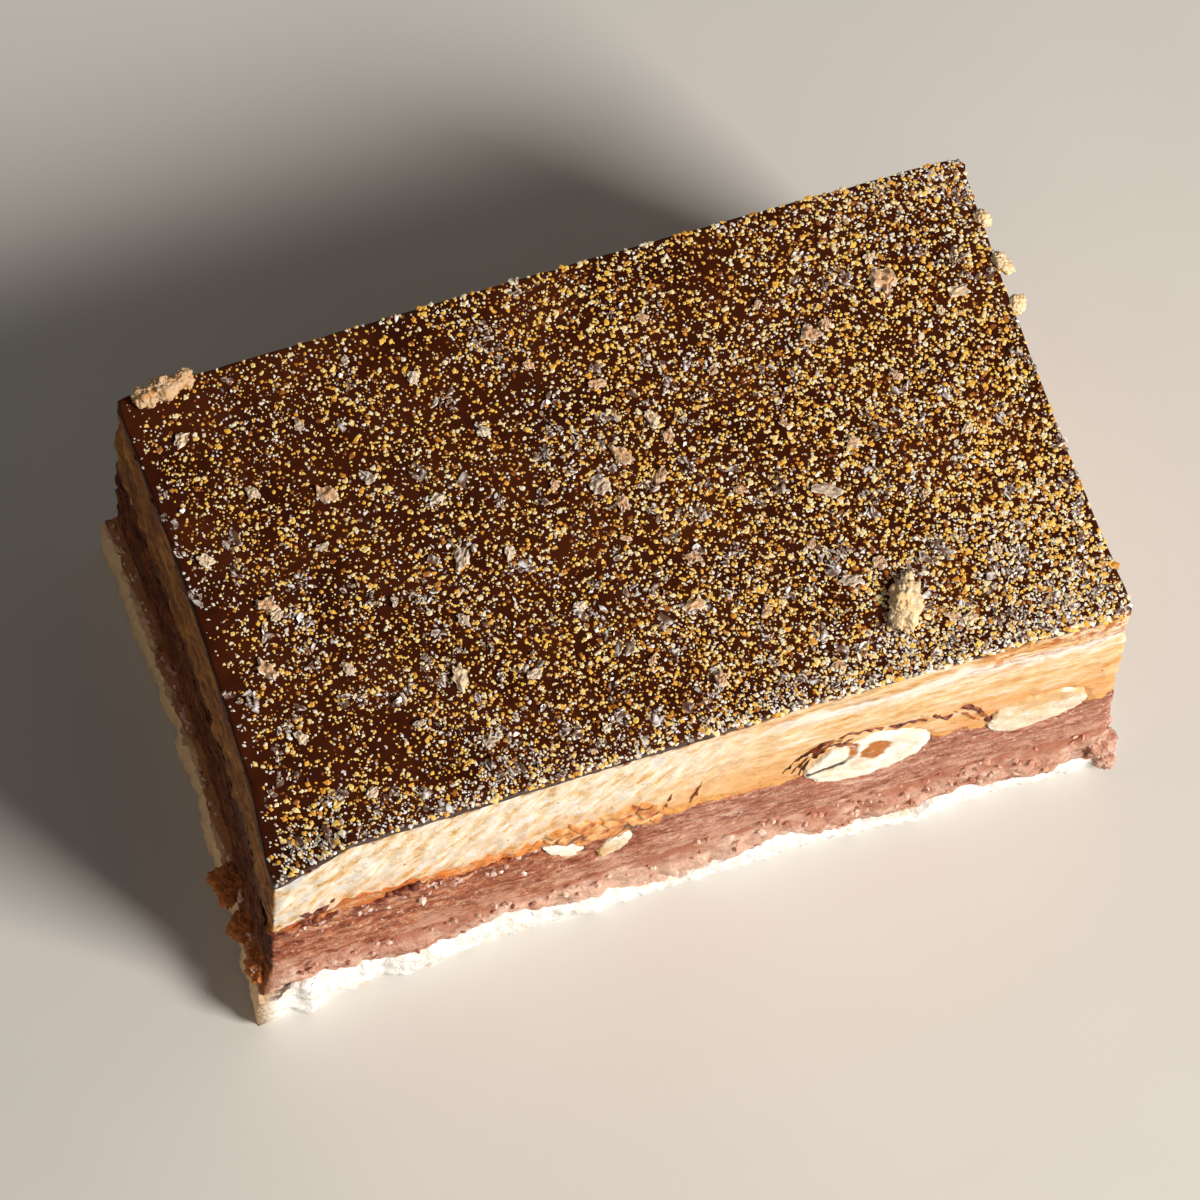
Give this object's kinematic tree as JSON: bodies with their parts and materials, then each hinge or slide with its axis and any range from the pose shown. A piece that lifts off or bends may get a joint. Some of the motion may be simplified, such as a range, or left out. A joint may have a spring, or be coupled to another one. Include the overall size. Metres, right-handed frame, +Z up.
{
  "type": "slice of hazelnut chocolate cake",
  "caption": "Rectangular slice of layered cake: sponge base, praline crisp, chocolate mousse, caramel, hazelnut cream, cut hazelnuts and a dark glaze with gold dust and flakes.",
  "frame": {"origin": "middle of the flat underside", "axes": "+X along the long side, +Y from the front cut face to the back, +Z up"},
  "size_m": [0.0972, 0.0583, 0.0434],
  "materials": {
    "sponge": "dry pale nut sponge with a browned rim",
    "praline": "crumbly praline crisp",
    "mousse": "smooth matt mousse with knife marks",
    "caramel": "sticky translucent caramel",
    "cream": "soft cream with knife streaks",
    "glaze": "glossy dark glaze with gold dust and flakes",
    "hazelnut": "cut kernel"
  },
  "bodies": {
    "root": {"base_sponge": "sponge", "praline_crisp": "praline", "chocolate_mousse": "mousse", "nut_caramel": "caramel", "hazelnut_cream": "cream", "chocolate_glaze": "glaze", "hazelnut_front_large": "hazelnut", "hazelnut_front_pale": "hazelnut", "hazelnut_chip_left": "hazelnut", "hazelnut_chip_middle": "hazelnut", "hazelnut_back_large": "hazelnut", "hazelnut_back_chip": "hazelnut", "hazelnut_right": "hazelnut"}
  },
  "joints": []
}
